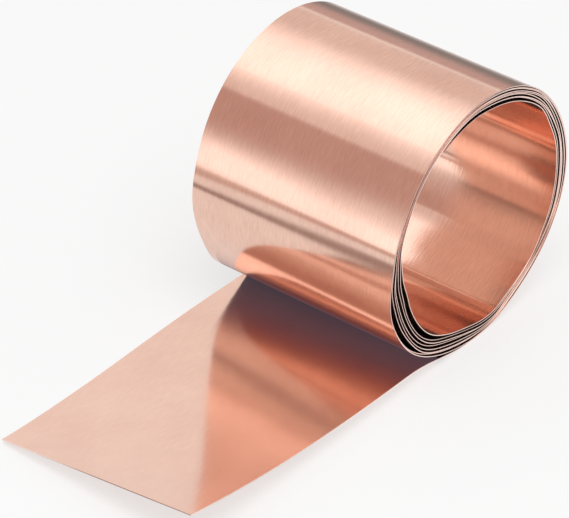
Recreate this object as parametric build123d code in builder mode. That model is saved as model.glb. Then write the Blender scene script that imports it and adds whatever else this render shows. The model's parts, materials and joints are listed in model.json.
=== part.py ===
from build123d import *
import os
from math import acos, cos, degrees, radians, sin

# Roll of copper strip, lying on its side with the free end drawn out over the floor.
# Origin: middle of the bore. +X along the bore, -Y towards the free end, +Z up.

# Strip
strip_width = 100.0
strip_thickness = 0.4

# Wound coil
bore_radius = 49.5
turn_count = 8
turn_gap = 0.475
turn_gap_depth = 1.2

# Outermost turn where it springs off the packet, at the lower front
outer_spring_height = 3.0
outer_spring_middle_angle = 210.0
outer_spring_half_angle = 46.0

# Innermost turn where the packet springs away from it, at the lower front
inner_spring_height = 1.4
inner_spring_middle_angle = 212.0
inner_spring_half_angle = 36.0

# Tail, which lies on its far edge and twists up towards its near edge
tail_length = 174.0
tail_twist_angle = 8.8
tail_twist_growth = 1.2
tail_tip_curl = 1.5
tail_tip_curl_growth = 5
tail_end_skew = 2.2
tail_station_count = 6

half_width = strip_width / 2
turn_pitch = strip_thickness + turn_gap
coil_radius = bore_radius + turn_count * turn_pitch

# Each half turn is half a pitch smaller than the one before it, so the half circles
# on the front have their centre half a pitch above the axis of the bore.
front_centre = (0, turn_pitch / 2)
front_radius = coil_radius - turn_pitch / 2

far_end = Plane.YZ.offset(-half_width)
near_end = Plane.YZ.offset(half_width)


def winding_arcs(first_radius, half_turn_count):
    """Half circles of a winding, from the bottom up the back, over the top and inwards."""
    arcs = []
    for half_turn in range(half_turn_count):
        radius = first_radius - half_turn * turn_pitch / 2
        if half_turn % 2 == 0:
            arcs.append(CenterArc((0, 0), radius, -90, 180))
        else:
            arcs.append(CenterArc(front_centre, radius, 90, 180))
    return arcs


def sprung_arc(centre, radius, height, middle_angle, half_angle, sunk=0.0):
    """Centre, radius, start and sweep of an arc that bulges off a circle by a height.

    It leaves the circle half an angle before its middle and after it, or ends
    that much deeper inside the circle where it is sunk.
    """
    shift = height / (1 - cos(radians(half_angle)))
    arc_radius = radius + height - shift
    end_radius = radius - sunk
    half_sweep = degrees(
        acos((end_radius**2 - shift**2 - arc_radius**2) / (2 * shift * arc_radius))
    )
    arc_centre = (
        centre[0] + shift * cos(radians(middle_angle)),
        centre[1] + shift * sin(radians(middle_angle)),
    )
    return arc_centre, arc_radius, middle_angle - half_sweep, 2 * half_sweep


def turn_outline(arc_centre, inner_radius, start_angle, sweep):
    """Outline of a stretch of one turn, on the outside of an arc."""
    inner_arc = CenterArc(arc_centre, inner_radius, start_angle, sweep)
    outer_arc = CenterArc(arc_centre, inner_radius + strip_thickness, start_angle, sweep)
    Line(outer_arc @ 0, inner_arc @ 0)
    Line(outer_arc @ 1, inner_arc @ 1)


def tail_station(station):
    """Plane across the tail at one station, seen along the strip from its root."""
    share = station / tail_station_count
    twist = radians(tail_twist_angle * share**tail_twist_growth)
    skew = radians(tail_end_skew * share)
    across = Vector(cos(twist) * cos(skew), -cos(twist) * sin(skew), sin(twist))
    along = Vector(-sin(skew), -cos(skew), 0)
    far_edge = Vector(
        -half_width,
        half_width * sin(skew) - tail_length * share,
        strip_thickness / 2 - coil_radius + tail_tip_curl * share**tail_tip_curl_growth,
    )
    return Plane(origin=far_edge + across * half_width, x_dir=across, z_dir=along)


# The gap between the turns starts inside the tail's root and stops short of the bore.
gap_outer_radius = coil_radius - strip_thickness
gap_inner_radius = gap_outer_radius - turn_gap
gap_half_turn_count = 2 * turn_count - 3

outer_spring = sprung_arc(
    front_centre,
    front_radius - strip_thickness,
    outer_spring_height,
    outer_spring_middle_angle,
    outer_spring_half_angle,
    sunk=strip_thickness,
)
inner_turn_radius = bore_radius + strip_thickness
inner_spring = sprung_arc(
    (0, 0),
    inner_turn_radius,
    inner_spring_height,
    inner_spring_middle_angle,
    inner_spring_half_angle,
)

with BuildPart() as copper_strip:
    # Packet of turns, one pitch smaller in front of the tail's root than behind it
    with BuildSketch(far_end):
        with BuildLine():
            outline = winding_arcs(coil_radius, 2)
            Line(outline[-1] @ 1, outline[0] @ 0)
        make_face()
        Circle(bore_radius, mode=Mode.SUBTRACT)
    extrude(amount=strip_width)

    # Turns, which show on both ends as one spiral gap
    with BuildSketch(far_end, near_end.offset(-turn_gap_depth)):
        with BuildLine():
            outer_wall = winding_arcs(gap_outer_radius, gap_half_turn_count)
            inner_wall = winding_arcs(gap_inner_radius, gap_half_turn_count)
            Line(outer_wall[0] @ 0, inner_wall[0] @ 0)
            Line(outer_wall[-1] @ 1, inner_wall[-1] @ 1)
        make_face()
    extrude(amount=turn_gap_depth, mode=Mode.SUBTRACT)

    # Next turn, pushed outwards by the crescent behind the innermost one
    with BuildSketch(far_end):
        with BuildLine():
            turn_outline(*inner_spring)
        make_face()
    extrude(amount=strip_width)

    # Crescent, right through the coil
    with BuildSketch(far_end):
        crescent_centre, crescent_radius = inner_spring[:2]
        with Locations(crescent_centre):
            Circle(crescent_radius)
        Circle(inner_turn_radius, mode=Mode.SUBTRACT)
    extrude(amount=strip_width, mode=Mode.SUBTRACT)

    # Outermost turn, sprung away from the packet before it runs under the coil
    with BuildSketch(far_end):
        with BuildLine():
            turn_outline(*outer_spring)
        make_face()
    extrude(amount=strip_width)

    # Tail, from its root under the coil to the free end
    for station in range(tail_station_count + 1):
        with BuildSketch(tail_station(station)):
            Rectangle(strip_width, strip_thickness)
    loft()

copper_strip.part.label = "copper_strip"

os.makedirs("parts", exist_ok=True)
export_step(copper_strip.part, "parts/copper_strip.step")
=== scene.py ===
"""Dresses the roll of copper strip: one wound strip, its rolled finish, and a plain studio around it."""

import json
import logging
import math
from dataclasses import dataclass, field
from enum import Enum
from typing import Any

import bpy
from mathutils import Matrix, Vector


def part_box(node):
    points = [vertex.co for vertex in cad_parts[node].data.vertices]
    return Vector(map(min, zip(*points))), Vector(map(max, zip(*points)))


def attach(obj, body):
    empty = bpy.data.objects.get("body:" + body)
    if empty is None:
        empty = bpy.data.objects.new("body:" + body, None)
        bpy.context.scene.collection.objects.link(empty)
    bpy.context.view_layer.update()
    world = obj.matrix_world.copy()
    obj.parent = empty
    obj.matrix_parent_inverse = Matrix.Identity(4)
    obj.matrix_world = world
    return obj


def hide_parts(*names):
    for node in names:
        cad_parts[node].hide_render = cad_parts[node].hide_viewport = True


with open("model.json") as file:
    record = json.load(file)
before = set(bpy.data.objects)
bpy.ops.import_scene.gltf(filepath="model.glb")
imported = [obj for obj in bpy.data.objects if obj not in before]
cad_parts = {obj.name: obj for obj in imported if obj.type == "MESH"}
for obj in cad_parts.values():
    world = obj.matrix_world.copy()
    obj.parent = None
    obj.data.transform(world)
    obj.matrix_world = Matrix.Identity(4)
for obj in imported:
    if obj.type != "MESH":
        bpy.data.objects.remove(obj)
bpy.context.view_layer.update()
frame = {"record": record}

log = logging.getLogger("copper_strip_scene")

MM = 0.001
FULL_TURN = 360.0
FLOOR_ANGLE = -90.0
PHOTO_WIDTH = 569
PHOTO_HEIGHT = 518

# How much further than the free end's length its slanting end reaches, in millimetres.
END_SLANT = 2.0

# A face this close to where the path ends belongs to a cut end, in metres.
CUT_END_DEPTH = 1e-6

# A noise texture's values lie nearly all between these two.
NOISE_LOW = 0.3
NOISE_HIGH = 0.7

PATH_ACROSS = "across"
PATH_THROUGH = "through"
PATH_ALONG = "along"
PROFILE_OVER = "over"
PROFILE_DEPTH = "depth"
UV_NAME = "UVMap"


class PanelRole(Enum):
    """What a panel beside the roll is for."""

    SOFTBOX = "softbox"
    CARD = "card"


def linear(hex_colour: str) -> tuple[float, float, float, float]:
    """Turns an sRGB hex colour into linear values.

    Args:
        hex_colour: The colour, such as "#F7CBB8".

    Returns:
        Linear red, green and blue, with an alpha of one.
    """
    shares = [int(hex_colour[place : place + 2], 16) / 255 for place in (1, 3, 5)]
    red, green, blue = (
        share / 12.92 if share <= 0.04045 else ((share + 0.055) / 1.055) ** 2.4 for share in shares
    )
    return red, green, blue, 1.0


def add_node(
    tree: bpy.types.NodeTree, kind: str, inputs: dict[str | int, Any] | None = None, **settings: Any
) -> bpy.types.Node:
    """Adds one node to a tree, with its settings, values and links.

    Args:
        tree: The tree that the node goes into.
        kind: The node's type.
        inputs: A value, or an output socket to link from, for each named or numbered input.
        **settings: The node's own properties.

    Returns:
        The new node.
    """
    node = tree.nodes.new(kind)
    for name, value in settings.items():
        setattr(node, name, value)
    for name, value in (inputs or {}).items():
        if isinstance(value, bpy.types.NodeSocket):
            tree.links.new(value, node.inputs[name])
        else:
            node.inputs[name].default_value = value
    return node


def bare_material(name: str) -> bpy.types.Material:
    """Adds a material whose node tree is still empty."""
    material = bpy.data.materials.new(name)
    material.use_nodes = True
    material.node_tree.nodes.clear()
    return material


def scene_object(name: str, data: bpy.types.ID) -> bpy.types.Object:
    """Adds an object with this data to the scene, at the origin."""
    new_object = bpy.data.objects.new(name, data)
    bpy.context.scene.collection.objects.link(new_object)
    return new_object


def ease(value: float, start: float, end: float) -> float:
    """Rises from 0 at the start to 1 at the end, level and uncurved at both.

    Args:
        value: Where on the way.
        start: Value at which the rise starts.
        end: Value at which the rise ends.

    Returns:
        The share of the rise that is done.
    """
    share = min(max((value - start) / (end - start), 0.0), 1.0)
    return share**3 * (share * (6 * share - 15) + 10)


def swell(angle: float, middle: float, reach: float) -> float:
    """A rounded hump around a middle angle.

    Args:
        angle: Angle around the coil, in degrees.
        middle: Angle of the hump's top.
        reach: Angle from the top to where the hump is 0.37 high.

    Returns:
        Height from 0 to 1.
    """
    away = (angle - middle + FULL_TURN / 2) % FULL_TURN - FULL_TURN / 2
    return math.exp(-((away / reach) ** 2))


@dataclass(frozen=True)
class Station:
    """One place along the strip's middle line.

    Args:
        middle: Point on the middle line, in millimetres.
        across: Unit vector from the strip's far edge to its near edge.
    """

    middle: Vector
    across: Vector


@dataclass(frozen=True)
class Opening:
    """Air that opens between a turn and the next one inside it, and closes again.

    Args:
        turn: Number of the turn, where 1 is the outermost.
        height: Greatest width of the air, in millimetres.
        opens: Angles at which it starts to open and is fully open, in degrees.
        closes: Angles at which it starts to close and is closed. Past 270 they are in the next turn.
    """

    turn: int
    height: float
    opens: tuple[float, float]
    closes: tuple[float, float]

    def air(self, turns: float) -> float:
        """Width of the air after so many turns."""
        angle = FLOOR_ANGLE + FULL_TURN * (turns - self.turn + 1)
        return self.height * ease(angle, *self.opens) * (1 - ease(angle, *self.closes))


@dataclass(frozen=True)
class ColdRolledCopper:
    """Bare copper strip, cold-rolled between ground steel rolls and bright annealed.

    The ground rolls print short fine lines along the strip, which show as a brushed grain where
    a lamp's reflection ends. A thin film against tarnish adds a pale haze, mostly at low angles.
    The real lines are a tenth of a millimetre apart, and are drawn coarser so that they show. On
    the free end, which lies open to the even room, they show less than on the coil.

    Args:
        colour: The copper where it is clean.
        dull_colour: The copper where it has dulled a little, in soft clouds.
        roughness: Roughness of the rolled face.
        anisotropic: How far the lines draw out a reflection across them.
        film: How much the film against tarnish shows.
        film_roughness: Roughness of that film.
        line_spacing: Distance between the drawn lines, in millimetres.
        line_length: Length of a drawn line, in millimetres.
        line_height: Height of the lines' relief, in millimetres.
        line_tone: How much darker and paler the lines are on the coil, as a share.
        quiet_tone: The same on the free end.
        quiet_stretch: Where along the strip the one turns into the other, in millimetres.
        cloud_size: Size of the dull clouds, in millimetres.
    """

    colour: str = "#F4CEBB"
    dull_colour: str = "#E2B6A5"
    roughness: float = 0.12
    anisotropic: float = 0.4
    film: float = 0.3
    film_roughness: float = 0.5
    line_spacing: float = 0.8
    line_length: float = 6.0
    line_height: float = 0.012
    line_tone: float = 0.06
    quiet_tone: float = 0.022
    quiet_stretch: tuple[float, float] = (150.0, 215.0)
    cloud_size: float = 30.0

    def material(self) -> bpy.types.Material:
        """Makes the finish of the strip's two rolled faces.

        Returns:
            The material.
        """
        material = bare_material("cold_rolled_copper")
        tree = material.node_tree
        place = add_node(tree, "ShaderNodeUVMap", uv_map=UV_NAME)
        lines_place = add_node(
            tree,
            "ShaderNodeMapping",
            {
                "Vector": place.outputs["UV"],
                "Scale": (1 / (self.line_spacing * MM), 1 / (self.line_length * MM), 1.0),
            },
        )
        lines = add_node(
            tree, "ShaderNodeTexNoise", {"Vector": lines_place.outputs["Vector"], "Scale": 1.0, "Detail": 2.0}
        )
        clouds = add_node(
            tree,
            "ShaderNodeTexNoise",
            {"Vector": place.outputs["UV"], "Scale": 1 / (self.cloud_size * MM), "Detail": 3.0},
        )
        tint = add_node(
            tree,
            "ShaderNodeMix",
            {0: clouds.outputs["Fac"], 6: linear(self.colour), 7: linear(self.dull_colour)},
            data_type="RGBA",
        )
        along = add_node(tree, "ShaderNodeSeparateXYZ", {"Vector": place.outputs["UV"]})
        tone = add_node(
            tree,
            "ShaderNodeMapRange",
            {
                "Value": along.outputs["Y"],
                "From Min": self.quiet_stretch[0] * MM,
                "From Max": self.quiet_stretch[1] * MM,
                "To Min": self.quiet_tone,
                "To Max": self.line_tone,
            },
            interpolation_type="SMOOTHSTEP",
        )
        contrast = add_node(
            tree,
            "ShaderNodeMapRange",
            {
                "Value": lines.outputs["Fac"],
                "From Min": NOISE_LOW,
                "From Max": NOISE_HIGH,
                "To Min": -1.0,
                "To Max": 1.0,
            },
        )
        shade = add_node(
            tree,
            "ShaderNodeMath",
            {0: contrast.outputs["Result"], 1: tone.outputs["Result"], 2: 1.0},
            operation="MULTIPLY_ADD",
        )
        toned = add_node(
            tree,
            "ShaderNodeVectorMath",
            {0: tint.outputs[2], "Scale": shade.outputs["Value"]},
            operation="SCALE",
        )
        relief = add_node(
            tree,
            "ShaderNodeBump",
            {"Height": lines.outputs["Fac"], "Distance": self.line_height * MM, "Strength": 1.0},
        )
        tangent = add_node(tree, "ShaderNodeTangent", direction_type="UV_MAP", uv_map=UV_NAME)
        surface = add_node(
            tree,
            "ShaderNodeBsdfPrincipled",
            {
                "Base Color": toned.outputs["Vector"],
                "Metallic": 1.0,
                "Roughness": self.roughness,
                "Anisotropic": self.anisotropic,
                "Coat Weight": self.film,
                "Coat Roughness": self.film_roughness,
                "Tangent": tangent.outputs["Tangent"],
                "Normal": relief.outputs["Normal"],
            },
        )
        add_node(tree, "ShaderNodeOutputMaterial", {"Surface": surface.outputs["BSDF"]})
        return material


@dataclass(frozen=True)
class SlitCopperEdge:
    """The strip's narrow edges, as rotary slitting knives leave them.

    The knives burnish most of the thickness, which shines pale, and the rest breaks away as a
    rough dark band. How much breaks away drifts along the strip.

    Args:
        thickness: Thickness of the strip, in millimetres.
        burnished_colour: The burnished part.
        broken_colour: The broken part.
        burnished_share: Share of the thickness that is burnished, on average.
        share_drift: How far that share drifts up and down.
        drift_length: Length over which it drifts, in millimetres.
        roughness: Roughness of the edge.
        burr_spacing: Distance between the burrs, in millimetres.
        burr_height: Height of the burrs, in millimetres.
    """

    thickness: float
    burnished_colour: str = "#FFE3D8"
    broken_colour: str = "#6E4038"
    burnished_share: float = 0.85
    share_drift: float = 0.35
    drift_length: float = 130.0
    roughness: float = 0.22
    burr_spacing: float = 0.8
    burr_height: float = 0.006

    def material(self) -> bpy.types.Material:
        """Makes the finish of the slit edges and of the two cut ends.

        Returns:
            The material.
        """
        material = bare_material("slit_copper_edge")
        tree = material.node_tree
        place = add_node(tree, "ShaderNodeTexCoord")
        burr = add_node(
            tree,
            "ShaderNodeTexNoise",
            {"Vector": place.outputs["Object"], "Scale": 1 / (self.burr_spacing * MM), "Detail": 1.0},
        )
        relief = add_node(
            tree,
            "ShaderNodeBump",
            {"Height": burr.outputs["Fac"], "Distance": self.burr_height * MM, "Strength": 1.0},
        )
        strip_place = add_node(tree, "ShaderNodeUVMap", uv_map=UV_NAME)
        drift_place = add_node(
            tree,
            "ShaderNodeMapping",
            {"Vector": strip_place.outputs["UV"], "Scale": (0.0, 1 / (self.drift_length * MM), 0.0)},
        )
        drift = add_node(
            tree, "ShaderNodeTexNoise", {"Vector": drift_place.outputs["Vector"], "Scale": 1.0, "Detail": 1.0}
        )
        middle = (self.burnished_share - 0.5) * self.thickness * MM
        swing = self.share_drift * self.thickness * MM
        limit = add_node(
            tree,
            "ShaderNodeMapRange",
            {
                "Value": drift.outputs["Fac"],
                "From Min": NOISE_LOW,
                "From Max": NOISE_HIGH,
                "To Min": middle - swing,
                "To Max": middle + swing,
            },
        )
        depth = add_node(tree, "ShaderNodeAttribute", attribute_name=PROFILE_DEPTH)
        past = add_node(
            tree,
            "ShaderNodeMath",
            {0: depth.outputs["Fac"], 1: limit.outputs["Result"]},
            operation="GREATER_THAN",
        )
        tone = add_node(
            tree,
            "ShaderNodeMix",
            {0: past.outputs["Value"], 6: linear(self.burnished_colour), 7: linear(self.broken_colour)},
            data_type="RGBA",
        )
        surface = add_node(
            tree,
            "ShaderNodeBsdfPrincipled",
            {
                "Base Color": tone.outputs[2],
                "Metallic": 1.0,
                "Roughness": self.roughness,
                "Normal": relief.outputs["Normal"],
            },
        )
        add_node(tree, "ShaderNodeOutputMaterial", {"Surface": surface.outputs["BSDF"]})
        return material


@dataclass
class WoundStrip:
    """The strip: its free end on the floor, then the turns from the outermost to the innermost.

    Sizes are in millimetres and angles in degrees. An angle of 0 is the back of the coil, 90 its
    top, 180 its front and -90 where it rests on the floor. Turns are counted from there.

    Args:
        width: Width of the strip.
        coil_radius: Height of the coil's axis above the floor.
        tail_length: Length of the free end.
        thickness: Thickness of the strip.
        edge_chamfer: Size of the chamfers along its edges.
        turn_count: Number of turns in the coil.
        turn_step: Angle between two sections of the coil.
        tail_step: Distance between two sections of the free end.
        cells_across: Number of faces across the strip.
        crease_angle: Angle from which an edge of the mesh stays sharp.
        shrink: How much smaller the coil is than its circle.
        bulges: Middle, reach and height of each place where it stands out or in.
        foot_reach: Angle over which it comes back to its circle at the floor.
        near_rises: Start, end and height of each rise of the outermost turn, at its near edge.
        far_rises: The same at its far edge.
        spring_fall: Angles between which the outermost turn comes back to its circle.
        lap_rise: Angles between which it moves inwards, so that it lies on its own start.
        pinched_gap: Air between two turns that lie on each other.
        openings: Where wider air opens between two turns.
        follow_turns: Turns between which the far edge stops springing otherwise.
        near_lift: How far the free end's near edge leaves the floor beside the coil.
        near_lift_length: Length over which it does.
        near_rise: How much further that edge rises towards the end.
        near_rise_growth: Power of that rise.
        far_lift: How far the far edge arches off the floor.
        far_lift_share: Share of the free end that the arch takes.
        far_curl: How far the far edge curls up at the end.
        far_curl_growth: Power of that curl.
        end_skew: Angle by which the end is out of square.
        wander: How far the turns wander to and fro along the axis.
        wander_rate: How fast they do, in radians a turn.
        wave_height: Height of the slight waves of thin strip.
        wave_length: Length of those waves.
        stations: The strip's places, once they are worked out.
    """

    width: float
    coil_radius: float
    tail_length: float
    thickness: float = 0.4
    edge_chamfer: float = 0.06

    turn_count: float = 8.583
    turn_step: float = 2.0
    tail_step: float = 2.0
    cells_across: int = 18
    crease_angle: float = 30.0

    shrink: float = 0.35
    bulges: tuple[tuple[float, float, float], ...] = ((-8.0, 28.0, 1.6), (-60.0, 17.0, -0.85))
    foot_reach: float = 30.0

    near_rises: tuple[tuple[float, float, float], ...] = ((150.0, 172.0, 1.0), (170.0, 200.0, 2.6))
    far_rises: tuple[tuple[float, float, float], ...] = ((158.0, 190.0, 1.6), (200.0, 228.0, 1.9))
    spring_fall: tuple[float, float] = (210.0, 270.0)
    lap_rise: tuple[float, float] = (170.0, 270.0)

    pinched_gap: float = 0.03
    openings: tuple[Opening, ...] = (
        # Crescents at the front, from the outermost turn inwards. The four small ones that open
        # from 138 or 140 keep the far edges apart, where the turns change their spring.
        Opening(1, 0.70, (212, 245), (250, 290)),
        Opening(2, 2.20, (178, 199), (211, 240)),
        Opening(2, 0.40, (228, 250), (256, 285)),
        Opening(3, 0.08, (140, 156), (166, 182)),
        Opening(3, 0.90, (161, 183), (196, 232)),
        Opening(3, 0.95, (210, 238), (246, 290)),
        Opening(4, 0.18, (138, 156), (174, 192)),
        Opening(4, 1.00, (167, 196), (236, 300)),
        Opening(5, 0.24, (138, 156), (176, 194)),
        Opening(5, 1.00, (169, 196), (225, 300)),
        Opening(6, 0.70, (150, 172), (262, 310)),
        Opening(6, 0.50, (162, 178), (186, 206)),
        Opening(7, 0.10, (138, 153), (164, 178)),
        Opening(7, 2.50, (156, 202), (212, 266)),
        Opening(7, 0.80, (240, 268), (275, 330)),
        # Fine air from the foot round the back to the top.
        Opening(2, 0.55, (-80, -62), (-50, -30)),
        Opening(5, 0.60, (-82, -62), (-45, -20)),
        Opening(3, 0.50, (-50, -28), (0, 30)),
        Opening(6, 0.80, (-55, -32), (-5, 22)),
        Opening(7, 0.60, (-45, -20), (15, 45)),
        Opening(8, 0.90, (-50, -25), (20, 50)),
        Opening(2, 0.40, (-25, 0), (25, 45)),
        Opening(4, 0.50, (-30, -5), (20, 50)),
        Opening(5, 0.70, (5, 28), (42, 65)),
        Opening(8, 1.00, (10, 70), (95, 130)),
        Opening(6, 0.70, (14, 64), (72, 110)),
        Opening(3, 0.40, (26, 62), (75, 105)),
        Opening(4, 0.45, (36, 76), (80, 105)),
        Opening(1, 0.35, (46, 62), (112, 130)),
    )
    follow_turns: tuple[float, float] = (2.0, 9.0)

    near_lift: float = 5.6
    near_lift_length: float = 48.0
    near_rise: float = 10.9
    near_rise_growth: float = 3.0
    far_lift: float = 1.0
    far_lift_share: float = 0.75
    far_curl: float = 1.7
    far_curl_growth: float = 10.0
    end_skew: float = 2.2

    wander: float = 0.3
    wander_rate: float = 2.3
    wave_height: float = 0.08
    wave_length: float = 45.0

    stations: list[Station] = field(default_factory=list)

    def bulge(self, angle: float) -> float:
        """How far the coil would stand outside its circle at an angle if it hung free."""
        swells = sum(height * swell(angle, middle, reach) for middle, reach, height in self.bulges)
        return swells - self.shrink

    def oval(self, angle: float) -> float:
        """How far the coil stands outside its circle at an angle, and nothing at the floor."""
        foot = self.bulge(FLOOR_ANGLE) * swell(angle, FLOOR_ANGLE, self.foot_reach)
        return self.bulge(angle) - foot

    def spring(self, angle: float, rises: tuple[tuple[float, float, float], ...]) -> float:
        """How far the outermost turn springs off its circle, at the lower front.

        Args:
            angle: Angle around the coil, from -90 to 270.
            rises: Start, end and height of each rise.

        Returns:
            The height at that angle.
        """
        height = sum(rise * ease(angle, start, end) for start, end, rise in rises)
        return height * (1 - ease(angle, *self.spring_fall))

    def gap(self, turns: float) -> float:
        """Air between a turn and the next one inside it, after so many turns."""
        return self.pinched_gap + sum(opening.air(turns) for opening in self.openings)

    def outermost_radius(self, share: float) -> float:
        """Radius of the strip's middle in the outermost turn, at its near edge.

        Args:
            share: Share of the turn, from 0 to 1.

        Returns:
            The radius.
        """
        angle = FLOOR_ANGLE + FULL_TURN * share
        lap = (self.thickness + self.gap(0.0)) * ease(angle, *self.lap_rise)
        spring = self.spring(angle, self.near_rises)
        return self.coil_radius - self.thickness / 2 + self.oval(angle) + spring - lap

    def near_radius(self, turns: float) -> float:
        """Radius of the strip's middle at its near edge.

        Args:
            turns: How many turns the place is from the foot.

        Returns:
            The radius.
        """
        number = int(turns)
        share = turns - number
        return self.outermost_radius(share) - sum(
            self.thickness + self.gap(turn + share) for turn in range(number)
        )

    def far_radius(self, turns: float) -> float:
        """Radius of the strip's middle at its far edge, where the outer turns spring otherwise.

        Args:
            turns: How many turns the place is from the foot.

        Returns:
            The radius.
        """
        angle = FLOOR_ANGLE + FULL_TURN * (turns % 1)
        follow = 1 - ease(turns, *self.follow_turns)
        return self.near_radius(turns) + follow * (
            self.spring(angle, self.far_rises) - self.spring(angle, self.near_rises)
        )

    def coil_station(self, turns: float) -> Station:
        """The strip's place in the coil.

        Args:
            turns: How many turns the place is from the foot.

        Returns:
            The station there.
        """
        angle = FLOOR_ANGLE + FULL_TURN * turns
        outward = Vector((0, math.cos(math.radians(angle)), math.sin(math.radians(angle))))
        shift = self.wander * math.sin(self.wander_rate * turns) * ease(turns, 0, 1)
        far, near = (
            Vector((side * self.width / 2 + shift, 0, 0)) + outward * radius
            for side, radius in ((-1, self.far_radius(turns)), (1, self.near_radius(turns)))
        )
        return Station((far + near) / 2, (near - far).normalized())

    def least_air(self) -> float:
        """Finds the narrowest air between two turns that lie on each other.

        Returns:
            Its width, at either edge of the strip.
        """
        steps = range(round((self.turn_count - 1) * FULL_TURN / self.turn_step))
        return min(
            radius(step * self.turn_step / FULL_TURN)
            - radius(step * self.turn_step / FULL_TURN + 1)
            - self.thickness
            for step in steps
            for radius in (self.near_radius, self.far_radius)
        )

    def tail_station(self, reach: float) -> Station:
        """The strip's place in the free end.

        Args:
            reach: Distance from the coil's foot towards the end.

        Returns:
            The station there.
        """
        share = reach / self.tail_length
        near = self.near_lift * ease(reach, 0, self.near_lift_length)
        near += self.near_rise * share**self.near_rise_growth
        far = self.far_lift * math.sin(math.pi * min(share / self.far_lift_share, 1.0)) ** 2
        far += self.far_curl * share**self.far_curl_growth
        twist = math.asin((near - far) / self.width)
        skew = math.radians(self.end_skew) * share
        across = Vector(
            (math.cos(twist) * math.cos(skew), -math.cos(twist) * math.sin(skew), math.sin(twist))
        )
        far_edge = Vector(
            (
                -self.width / 2,
                self.width / 2 * math.sin(skew) - reach,
                far + self.thickness / 2 - self.coil_radius,
            )
        )
        return Station(far_edge + across * self.width / 2, across)

    def lay_out(self) -> None:
        """Works out the stations, from the free end to the innermost end."""
        tail_count = round(self.tail_length / self.tail_step)
        self.stations = [
            self.tail_station(self.tail_length * (tail_count - step) / tail_count)
            for step in range(tail_count)
        ]
        turn_steps = round(self.turn_count * FULL_TURN / self.turn_step)
        self.stations += [
            self.coil_station(self.turn_count * step / turn_steps) for step in range(turn_steps + 1)
        ]

    def path_object(self) -> bpy.types.Object:
        """Makes the middle line as a chain of edges that says how the strip lies along it.

        Returns:
            The line, as an object in the scene.
        """
        points = [station.middle * MM for station in self.stations]
        last = len(points) - 1
        mesh = bpy.data.meshes.new("strip_path")
        mesh.from_pydata(points, [(step, step + 1) for step in range(last)], [])
        lengths = [0.0]
        through = []
        for step, station in enumerate(self.stations):
            run = points[min(step + 1, last)] - points[max(step - 1, 0)]
            through.append(run.cross(station.across).normalized())
            if step:
                lengths.append(lengths[-1] + (points[step] - points[step - 1]).length)
        for name, vectors in (
            (PATH_ACROSS, [station.across for station in self.stations]),
            (PATH_THROUGH, through),
        ):
            attribute = mesh.attributes.new(name, "FLOAT_VECTOR", "POINT")
            attribute.data.foreach_set("vector", [part for vector in vectors for part in vector])
        mesh.attributes.new(PATH_ALONG, "FLOAT", "POINT").data.foreach_set("value", lengths)
        return scene_object("strip_path", mesh)

    def sweep_tree(
        self, face: bpy.types.Material, edge: bpy.types.Material
    ) -> tuple[bpy.types.NodeTree, dict[str, str]]:
        """Builds the tree that sweeps the strip's section along its path.

        Args:
            face: Finish of the rolled faces.
            edge: Finish of the slit edges and the cut ends.

        Returns:
            The tree, and the identifier of each of its inputs by name.
        """
        tree = bpy.data.node_groups.new("strip_sweep", "GeometryNodeTree")
        tree.interface.new_socket("Path", in_out="INPUT", socket_type="NodeSocketGeometry")
        identifiers = {}
        for name, kind in (
            ("Strip Width", "NodeSocketFloat"),
            ("Strip Thickness", "NodeSocketFloat"),
            ("Edge Chamfer", "NodeSocketFloat"),
            ("Cuts Across", "NodeSocketInt"),
            ("Wave Height", "NodeSocketFloat"),
            ("Wave Length", "NodeSocketFloat"),
            ("Path Length", "NodeSocketFloat"),
        ):
            socket = tree.interface.new_socket(name, in_out="INPUT", socket_type=kind)
            identifiers[name] = socket.identifier
        tree.interface.new_socket("Strip", in_out="OUTPUT", socket_type="NodeSocketGeometry")
        sizes = add_node(tree, "NodeGroupInput").outputs

        line = add_node(tree, "GeometryNodeMeshToCurve", {"Mesh": sizes["Path"]})
        across = add_node(
            tree, "GeometryNodeInputNamedAttribute", {"Name": PATH_ACROSS}, data_type="FLOAT_VECTOR"
        )
        laid = add_node(
            tree,
            "GeometryNodeSetCurveNormal",
            {"Curve": line.outputs["Curve"], "Normal": across.outputs["Attribute"]},
            mode="FREE",
        )
        profile = self.profile(tree, sizes)
        swept = add_node(
            tree,
            "GeometryNodeCurveToMesh",
            {"Curve": laid.outputs["Curve"], "Profile Curve": profile, "Fill Caps": True},
        )
        waved = self.waves(tree, sizes, swept.outputs["Mesh"])
        mapped, at_edge = self.strip_map(tree, sizes, waved)

        angle = add_node(tree, "GeometryNodeInputMeshEdgeAngle")
        corner = add_node(
            tree,
            "ShaderNodeMath",
            {0: angle.outputs["Unsigned Angle"], 1: math.radians(self.crease_angle)},
            operation="GREATER_THAN",
        )
        smooth = add_node(tree, "GeometryNodeSetShadeSmooth", {"Geometry": mapped, "Shade Smooth": True})
        creased = add_node(
            tree,
            "GeometryNodeSetShadeSmooth",
            {
                "Geometry": smooth.outputs["Geometry"],
                "Selection": corner.outputs["Value"],
                "Shade Smooth": False,
            },
            domain="EDGE",
        )
        real = add_node(tree, "GeometryNodeRealizeInstances", {"Geometry": creased.outputs["Geometry"]})
        faced = add_node(
            tree, "GeometryNodeSetMaterial", {"Geometry": real.outputs["Geometry"], "Material": face}
        )
        edged = add_node(
            tree,
            "GeometryNodeSetMaterial",
            {"Geometry": faced.outputs["Geometry"], "Selection": at_edge, "Material": edge},
        )
        add_node(tree, "NodeGroupOutput", {"Strip": edged.outputs["Geometry"]})
        return tree, identifiers

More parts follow.
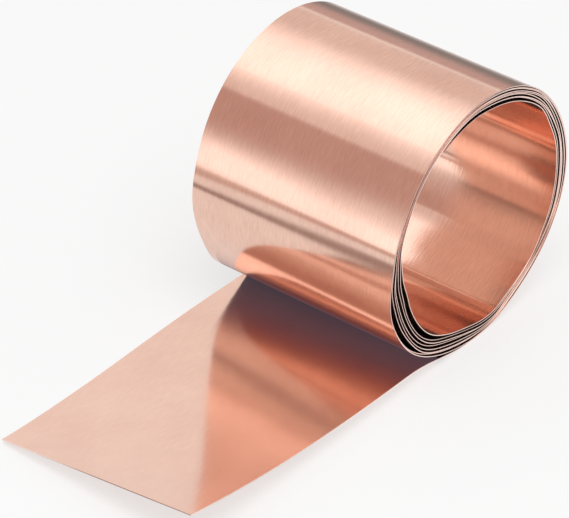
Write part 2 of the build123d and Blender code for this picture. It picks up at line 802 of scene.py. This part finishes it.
    def profile(
        self, tree: bpy.types.NodeTree, sizes: bpy.types.NodeOutputs
    ) -> bpy.types.NodeSocket:
        """Adds the strip's section, chamfered, with cells on its two long sides.

        Args:
            tree: The tree.
            sizes: The tree's input sockets.

        Returns:
            The section's curve.
        """
        section = add_node(
            tree,
            "GeometryNodeCurvePrimitiveQuadrilateral",
            {"Width": sizes["Strip Width"], "Height": sizes["Strip Thickness"]},
        )
        chamfered = add_node(
            tree,
            "GeometryNodeFilletCurve",
            {"Curve": section.outputs["Curve"], "Radius": sizes["Edge Chamfer"], "Count": 1},
            mode="POLY",
        )
        # The chamfered section has eight points, and its long sides start at points 1 and 5.
        number = add_node(tree, "GeometryNodeInputIndex")
        place = add_node(tree, "ShaderNodeMath", {0: number.outputs["Index"], 1: 4.0}, operation="MODULO")
        long_side = add_node(
            tree, "ShaderNodeMath", {0: place.outputs["Value"], 1: 1.0, 2: 0.5}, operation="COMPARE"
        )
        cuts = add_node(
            tree,
            "ShaderNodeMath",
            {0: long_side.outputs["Value"], 1: sizes["Cuts Across"]},
            operation="MULTIPLY",
        )
        divided = add_node(
            tree,
            "GeometryNodeSubdivideCurve",
            {"Curve": chamfered.outputs["Curve"], "Cuts": cuts.outputs["Value"]},
        )
        position = add_node(tree, "GeometryNodeInputPosition")
        parts = add_node(tree, "ShaderNodeSeparateXYZ", {"Vector": position.outputs["Position"]})
        marked = add_node(
            tree,
            "GeometryNodeStoreNamedAttribute",
            {"Geometry": divided.outputs["Curve"], "Name": PROFILE_OVER, "Value": parts.outputs["X"]},
            data_type="FLOAT",
            domain="POINT",
        )
        marked = add_node(
            tree,
            "GeometryNodeStoreNamedAttribute",
            {"Geometry": marked.outputs["Geometry"], "Name": PROFILE_DEPTH, "Value": parts.outputs["Y"]},
            data_type="FLOAT",
            domain="POINT",
        )
        return marked.outputs["Geometry"]

    def waves(
        self, tree: bpy.types.NodeTree, sizes: bpy.types.NodeOutputs, strip: bpy.types.NodeSocket
    ) -> bpy.types.NodeSocket:
        """Adds the slight waves of thin strip, which push both faces inwards together.

        Args:
            tree: The tree.
            sizes: The tree's input sockets.
            strip: The swept strip.

        Returns:
            The waved strip.
        """
        position = add_node(tree, "GeometryNodeInputPosition")
        stretch = add_node(tree, "ShaderNodeMath", {0: 1.0, 1: sizes["Wave Length"]}, operation="DIVIDE")
        noise = add_node(
            tree,
            "ShaderNodeTexNoise",
            {"Vector": position.outputs["Position"], "Scale": stretch.outputs["Value"], "Detail": 0.0},
        )
        inwards = add_node(tree, "ShaderNodeMath", {0: noise.outputs["Fac"], 1: -1.0}, operation="MULTIPLY")
        height = add_node(
            tree,
            "ShaderNodeMath",
            {0: inwards.outputs["Value"], 1: sizes["Wave Height"]},
            operation="MULTIPLY",
        )
        through = add_node(
            tree, "GeometryNodeInputNamedAttribute", {"Name": PATH_THROUGH}, data_type="FLOAT_VECTOR"
        )
        offset = add_node(
            tree,
            "ShaderNodeVectorMath",
            {0: through.outputs["Attribute"], "Scale": height.outputs["Value"]},
            operation="SCALE",
        )
        waved = add_node(
            tree, "GeometryNodeSetPosition", {"Geometry": strip, "Offset": offset.outputs["Vector"]}
        )
        return waved.outputs["Geometry"]

    def strip_map(
        self, tree: bpy.types.NodeTree, sizes: bpy.types.NodeOutputs, strip: bpy.types.NodeSocket
    ) -> tuple[bpy.types.NodeSocket, bpy.types.NodeSocket]:
        """Adds a map in metres, across the strip and along it, and finds its narrow edges.

        Args:
            tree: The tree.
            sizes: The tree's input sockets.
            strip: The swept strip.

        Returns:
            The mapped strip, and a field that is true on the slit edges and the cut ends.
        """
        over = add_node(tree, "GeometryNodeInputNamedAttribute", {"Name": PROFILE_OVER}, data_type="FLOAT")
        along = add_node(tree, "GeometryNodeInputNamedAttribute", {"Name": PATH_ALONG}, data_type="FLOAT")
        place = add_node(
            tree, "ShaderNodeCombineXYZ", {"X": over.outputs["Attribute"], "Y": along.outputs["Attribute"]}
        )
        mapped = add_node(
            tree,
            "GeometryNodeStoreNamedAttribute",
            {"Geometry": strip, "Name": UV_NAME, "Value": place.outputs["Vector"]},
            data_type="FLOAT2",
            domain="CORNER",
        )
        half_length = add_node(
            tree, "ShaderNodeMath", {0: sizes["Path Length"], 1: 0.5}, operation="MULTIPLY"
        )
        centred = add_node(
            tree,
            "ShaderNodeMath",
            {0: along.outputs["Attribute"], 1: half_length.outputs["Value"]},
            operation="SUBTRACT",
        )
        beyond = []
        for spot, size, inset in (
            (over.outputs["Attribute"], sizes["Strip Width"], sizes["Edge Chamfer"]),
            (centred.outputs["Value"], sizes["Path Length"], CUT_END_DEPTH),
        ):
            half = add_node(tree, "ShaderNodeMath", {0: size, 1: 0.5}, operation="MULTIPLY")
            away = add_node(tree, "ShaderNodeMath", {0: spot}, operation="ABSOLUTE")
            limit = add_node(
                tree, "ShaderNodeMath", {0: half.outputs["Value"], 1: inset}, operation="SUBTRACT"
            )
            beyond.append(
                add_node(
                    tree,
                    "ShaderNodeMath",
                    {0: away.outputs["Value"], 1: limit.outputs["Value"]},
                    operation="GREATER_THAN",
                ).outputs["Value"]
            )
        at_edge = add_node(tree, "ShaderNodeMath", {0: beyond[0], 1: beyond[1]}, operation="MAXIMUM")
        return mapped.outputs["Geometry"], at_edge.outputs["Value"]

    def build(self, face: bpy.types.Material, edge: bpy.types.Material) -> bpy.types.Object:
        """Sweeps the strip and leaves it as a plain mesh at the origin.

        Args:
            face: Finish of the rolled faces.
            edge: Finish of the slit edges and the cut ends.

        Returns:
            The finished piece.
        """
        self.lay_out()
        path = self.path_object()
        tree, identifiers = self.sweep_tree(face, edge)
        length = path.data.attributes[PATH_ALONG].data[len(self.stations) - 1].value
        sizes = {
            "Strip Width": self.width * MM,
            "Strip Thickness": self.thickness * MM,
            "Edge Chamfer": self.edge_chamfer * MM,
            "Cuts Across": self.cells_across - 1,
            "Wave Height": self.wave_height * MM,
            "Wave Length": self.wave_length * MM,
            "Path Length": length,
        }
        modifier = path.modifiers.new("strip_sweep", "NODES")
        modifier.node_group = tree
        for name, value in sizes.items():
            modifier[identifiers[name]] = value
        evaluated = path.evaluated_get(bpy.context.evaluated_depsgraph_get())
        mesh = bpy.data.meshes.new_from_object(evaluated)
        mesh.name = "wound_copper_strip"
        path.modifiers.remove(modifier)
        bpy.data.objects.remove(path)
        strip = scene_object("wound_copper_strip", mesh)
        log.info(
            "%s: %.2f m long, %d faces, least air %.3f mm",
            strip.name,
            length,
            len(mesh.polygons),
            self.least_air(),
        )
        return strip


@dataclass(frozen=True)
class Panel:
    """A long panel parallel to the roll's axis, which shows only in reflections.

    Args:
        name: What a photographer would call it.
        role: Whether it brightens or darkens.
        start: Angle around the roll's axis at which it starts, with 0 behind the roll and 90 above.
        end: Angle at which it ends.
        level: How bright it looks, where 1 is the white of the room.
        colour: Its colour.
        soft: Angles over which it fades in at its start and out at its end.
        distances: How far its start and its end are from the axis, in metres.
        reach: Where it starts and ends along the axis, in metres.
        end_colour: Its colour at its end, where it changes on the way there.
    """

    name: str
    role: PanelRole
    start: float
    end: float
    level: float
    colour: str = "#FFFFFF"
    soft: tuple[float, float] = (6.0, 6.0)
    distances: tuple[float, float] = (1.0, 1.0)
    reach: tuple[float, float] = (-3.0, 3.0)
    end_colour: str | None = None

    def edges(self) -> tuple[Vector, Vector]:
        """The places of its two long edges, seen along the axis."""
        return tuple(
            distance * Vector((math.cos(math.radians(angle)), math.sin(math.radians(angle))))
            for angle, distance in zip((self.start, self.end), self.distances)
        )

    def share_at(self, angle: float) -> float:
        """Share of its breadth at which it is met by a ray from the axis.

        Args:
            angle: The ray's angle, in degrees.

        Returns:
            The share, from 0 at its start to 1 at its end.
        """
        ray = Vector((math.cos(math.radians(angle)), math.sin(math.radians(angle))))
        before, after = (abs(edge.cross(ray)) for edge in self.edges())
        return before / (before + after)

    def material(self) -> bpy.types.Material:
        """Makes the even glow of a softbox's cloth, of a lit card, or of the sheet that paints the slot's
        shade, which fades at the long edges.

        Returns:
            The material.
        """
        material = bare_material(self.name)
        tree = material.node_tree
        place = add_node(tree, "ShaderNodeTexCoord")
        parts = add_node(tree, "ShaderNodeSeparateXYZ", {"Vector": place.outputs["UV"]})
        fades = [
            add_node(
                tree,
                "ShaderNodeMapRange",
                {"Value": parts.outputs["Y"], "From Min": edge, "From Max": inside},
                interpolation_type="SMOOTHSTEP",
            )
            for edge, inside in (
                (0.0, self.share_at(self.start + self.soft[0])),
                (1.0, self.share_at(self.end - self.soft[1])),
            )
        ]
        cover = add_node(
            tree,
            "ShaderNodeMath",
            {0: fades[0].outputs["Result"], 1: fades[1].outputs["Result"]},
            operation="MULTIPLY",
        )
        colour = linear(self.colour)
        if self.end_colour:
            shift = {0: parts.outputs["Y"], 6: colour, 7: linear(self.end_colour)}
            colour = add_node(tree, "ShaderNodeMix", shift, data_type="RGBA").outputs[2]
        glow = add_node(tree, "ShaderNodeEmission", {"Color": colour, "Strength": self.level})
        clear = add_node(tree, "ShaderNodeBsdfTransparent")
        faded = add_node(
            tree,
            "ShaderNodeMixShader",
            {0: cover.outputs["Value"], 1: clear.outputs["BSDF"], 2: glow.outputs["Emission"]},
        )
        add_node(tree, "ShaderNodeOutputMaterial", {"Surface": faded.outputs["Shader"]})
        return material

    def build(self) -> bpy.types.Object:
        """Hangs the panel beside the roll, where only reflections show it.

        Returns:
            The panel.
        """
        start, end = self.edges()
        corners = [
            Vector((self.reach[side], *edge)) for side, edge in ((0, start), (1, start), (1, end), (0, end))
        ]
        mesh = bpy.data.meshes.new(self.name)
        mesh.from_pydata(corners, [], [(0, 1, 2, 3)])
        layer = mesh.uv_layers.new(name=UV_NAME)
        for loop, place in zip(layer.data, ((0, 0), (1, 0), (1, 1), (0, 1))):
            loop.uv = place
        mesh.materials.append(self.material())
        panel = scene_object(self.name, mesh)
        panel.visible_camera = False
        panel.visible_diffuse = False
        panel.visible_shadow = False
        return panel


@dataclass
class Studio:
    """Pale floor, white room, one soft lamp above, and panels that show in the metal.

    Args:
        floor_level: Height of the floor, in metres.
        floor_colour: Colour of the floor's matt paper.
        floor_glow: Share of plain white in what the camera and the metal see of the floor.
        floor_size: Length of the floor's sides, in metres.
        room_level: How bright the room is to the camera and in the metal.
        fill_level: How bright the room's fill light is on everything else.
        lamp_level: How bright the lamp makes a white card that faces it.
        lamp_size: Length of the lamp's sides, in metres.
        lamp_place: Where the lamp hangs, in metres.
        panels: The panels round the roll.
    """

    floor_level: float
    floor_colour: str = "#FAFAFA"
    floor_glow: float = 0.6
    floor_size: float = 24.0
    room_level: float = 1.0
    fill_level: float = 0.62
    lamp_level: float = 0.42
    lamp_size: float = 1.6
    lamp_place: tuple[float, float, float] = (0.6, -0.5, 2.0)
    # Each panel shows as one band or line along the coil. The low ones show in the free end too,
    # and the card in the slot between the coil and the free end is painted shade: a glowing sheet,
    # purple to slate, that stands in for the slot's shade where the metal reflects it.
    panels: tuple[Panel, ...] = (
        Panel(
            "rear_low_flag", PanelRole.CARD, start=-17, end=25, level=0.28, colour="#F4F0EE",
            soft=(24, 17), distances=(0.19, 0.203), reach=(-0.2, 0.6),
        ),
        Panel(
            "rear_low_card", PanelRole.CARD, start=1, end=26.5, level=0.6, colour="#FFE6E2",
            soft=(4, 0.8), distances=(0.3, 0.3), reach=(-0.26, 0.8),
        ),
        Panel(
            "rear_slit_lamp", PanelRole.SOFTBOX, start=18.5, end=25, level=0.95,
            soft=(2, 2), distances=(0.98, 0.98),
        ),
        Panel(
            "rear_card", PanelRole.CARD, start=18, end=74, level=0.84, colour="#FFF4EE",
            soft=(4, 34), distances=(1.39, 1.39), reach=(-0.92, 3.0),
        ),
        Panel(
            "top_flag", PanelRole.CARD, start=100, end=150, level=0.86, colour="#FFF4EE",
            soft=(26, 10), distances=(0.85, 0.85),
        ),
        Panel(
            "top_softbox", PanelRole.SOFTBOX, start=48, end=132, level=1.6,
            soft=(40, 42), distances=(1.04, 1.04),
        ),
        Panel(
            "front_flag", PanelRole.CARD, start=127.1, end=171.8, level=0.6, colour="#FFDCD2",
            soft=(3.4, 26), distances=(0.1254, 0.202),
        ),
        Panel(
            "front_strip", PanelRole.SOFTBOX, start=155, end=190, level=1.4,
            soft=(20, 8), distances=(0.42, 0.36),
        ),
        Panel(
            "front_rail", PanelRole.CARD, start=182, end=188.4, level=0.66, colour="#FFE2D8",
            soft=(2.2, 2.2), distances=(0.2, 0.2017),
        ),
        Panel(
            "low_front_flag", PanelRole.CARD, start=191.4, end=197.4, level=0.34, colour="#FFE2D8",
            soft=(3, 1.5), distances=(0.188, 0.188),
        ),
        # Painted shade: this glowing sheet gives the slot its purple-to-slate shade in the reflections.
        Panel(
            "slot_shade_card", PanelRole.CARD, start=215, end=250.4, level=1.0, colour="#8A5A60",
            end_colour="#384A5E", soft=(22, 0.5), distances=(0.0640, 0.0597), reach=(-0.05, 0.05),
        ),
    )

    def seen(self, tree: bpy.types.NodeTree) -> bpy.types.NodeSocket:
        """Adds a value of 1 for what the camera sees, directly, in metal or through glass.

        Args:
            tree: The tree that it goes into.

        Returns:
            The value.
        """
        path = add_node(tree, "ShaderNodeLightPath")
        direct = add_node(
            tree,
            "ShaderNodeMath",
            {0: path.outputs["Is Camera Ray"], 1: path.outputs["Is Glossy Ray"]},
            operation="MAXIMUM",
        )
        seen = add_node(
            tree,
            "ShaderNodeMath",
            {0: direct.outputs["Value"], 1: path.outputs["Is Transmission Ray"]},
            operation="MAXIMUM",
        )
        return seen.outputs["Value"]

    def build_floor(self) -> bpy.types.Object:
        """Lays the floor under the coil's foot.

        Returns:
            The floor.
        """
        half = self.floor_size / 2
        corners = [
            (side * half, end * half, self.floor_level)
            for side, end in ((-1, -1), (1, -1), (1, 1), (-1, 1))
        ]
        mesh = bpy.data.meshes.new("studio_floor")
        mesh.from_pydata(corners, [], [(0, 1, 2, 3)])
        # Matt paper scatters light evenly, so that it takes the soft shadow and has no shine.
        material = bare_material("matt_paper_floor")
        tree = material.node_tree
        paper = add_node(tree, "ShaderNodeBsdfDiffuse", {"Color": linear(self.floor_colour)})
        white = add_node(tree, "ShaderNodeEmission", {"Color": linear("#FFFFFF"), "Strength": 1.0})
        share = add_node(
            tree, "ShaderNodeMath", {0: self.seen(tree), 1: self.floor_glow}, operation="MULTIPLY"
        )
        lit = add_node(
            tree,
            "ShaderNodeMixShader",
            {0: share.outputs["Value"], 1: paper.outputs["BSDF"], 2: white.outputs["Emission"]},
        )
        add_node(tree, "ShaderNodeOutputMaterial", {"Surface": lit.outputs["Shader"]})
        mesh.materials.append(material)
        log.info("studio_floor: %.1f mm under the coil's axis", -self.floor_level / MM)
        return scene_object("studio_floor", mesh)

    def build_room(self) -> None:
        """Makes the room white to the camera and in the metal, and an even fill for the rest."""
        world = bpy.data.worlds.new("white_room")
        world.use_nodes = True
        tree = world.node_tree
        tree.nodes.clear()
        level = add_node(
            tree,
            "ShaderNodeMapRange",
            {"Value": self.seen(tree), "To Min": self.fill_level, "To Max": self.room_level},
        )
        white = add_node(
            tree, "ShaderNodeBackground", {"Color": linear("#FFFFFF"), "Strength": level.outputs["Result"]}
        )
        add_node(tree, "ShaderNodeOutputWorld", {"Surface": white.outputs["Background"]})
        bpy.context.scene.world = world

    def build_lamp(self) -> None:
        """Hangs the soft lamp that gives the object its shadow on the floor."""
        lamp = bpy.data.lights.new("soft_lamp", "AREA")
        lamp.shape = "SQUARE"
        lamp.size = self.lamp_size
        place = Vector(self.lamp_place)
        # A small area lamp of this power gives a facing white card the brightness lamp_level.
        lamp.energy = self.lamp_level * math.pi**2 * place.length_squared
        lamp_object = scene_object("soft_lamp", lamp)
        lamp_object.location = place
        lamp_object.rotation_euler = (-place).to_track_quat("-Z", "Y").to_euler()
        lamp_object.visible_glossy = False
        log.info("soft_lamp: %.1f W", lamp.energy)

    def build(self) -> None:
        """Builds the floor, the room, the lamp and the panels."""
        self.build_floor()
        self.build_room()
        self.build_lamp()
        for panel in self.panels:
            panel.build()
            log.info("%s: %s, level %.2f", panel.name, panel.role.value, panel.level)


@dataclass
class ProductCamera:
    """A level camera at the photograph's angle.

    Args:
        foot: Point under the coil's middle on the floor, in metres.
        azimuth: Angle round the object, in degrees.
        elevation: Angle above the horizon, in degrees.
        distance: Distance from the foot along the camera's line of sight, in metres.
        focal_pixels: Focal length in pixels of the photograph.
        foot_pixel: Where the foot shows in the photograph.
        sensor: Width of the sensor, in millimetres.
        clip_end: How far it sees, in metres.
    """

    foot: Vector
    azimuth: float = 39.15
    elevation: float = 34.85
    distance: float = 1.6
    focal_pixels: float = 3930.0
    foot_pixel: tuple[float, float] = (378.8, 291.0)
    sensor: float = 36.0
    clip_end: float = 100.0

    def build(self) -> bpy.types.Object:
        """Places the camera and makes it the scene's own.

        Returns:
            The camera.
        """
        azimuth, elevation = math.radians(self.azimuth), math.radians(self.elevation)
        back = Vector(
            (
                math.sin(azimuth) * math.cos(elevation),
                -math.cos(azimuth) * math.cos(elevation),
                math.sin(elevation),
            )
        )
        right = Vector((math.cos(azimuth), math.sin(azimuth), 0))
        up = back.cross(right)
        per_pixel = self.distance / self.focal_pixels
        rightwards = (self.foot_pixel[0] - PHOTO_WIDTH / 2) * per_pixel
        upwards = (PHOTO_HEIGHT / 2 - self.foot_pixel[1]) * per_pixel
        data = bpy.data.cameras.new("product_camera")
        data.sensor_width = self.sensor
        data.lens = self.focal_pixels / PHOTO_WIDTH * self.sensor
        data.clip_end = self.clip_end
        camera = scene_object("product_camera", data)
        camera.location = self.foot - right * rightwards - up * upwards + back * self.distance
        camera.rotation_euler = (-back).to_track_quat("-Z", "Y").to_euler()
        bpy.context.scene.camera = camera
        return camera


def main() -> None:
    """Builds the strip, the studio and the camera."""
    logging.basicConfig(level=logging.INFO, format="%(name)s: %(message)s")
    low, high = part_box("copper_strip")
    bore = next(mount for mount in frame["record"]["mounts"] if mount["name"] == "bore")
    coil_radius = -low.z

    strip = WoundStrip(
        width=bore["dims"]["length_mm"],
        coil_radius=coil_radius / MM,
        tail_length=-low.y / MM - END_SLANT,
    )
    piece = strip.build(ColdRolledCopper().material(), SlitCopperEdge(strip.thickness).material())
    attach(piece, "root")
    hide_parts("copper_strip")

    Studio(floor_level=-coil_radius).build()
    camera = ProductCamera(foot=Vector((0, 0, -coil_radius))).build()
    log.info("%s: %.0f mm lens", camera.name, camera.data.lens)
    bpy.context.scene.view_settings.view_transform = "Standard"


if __name__ == "__main__":
    main()
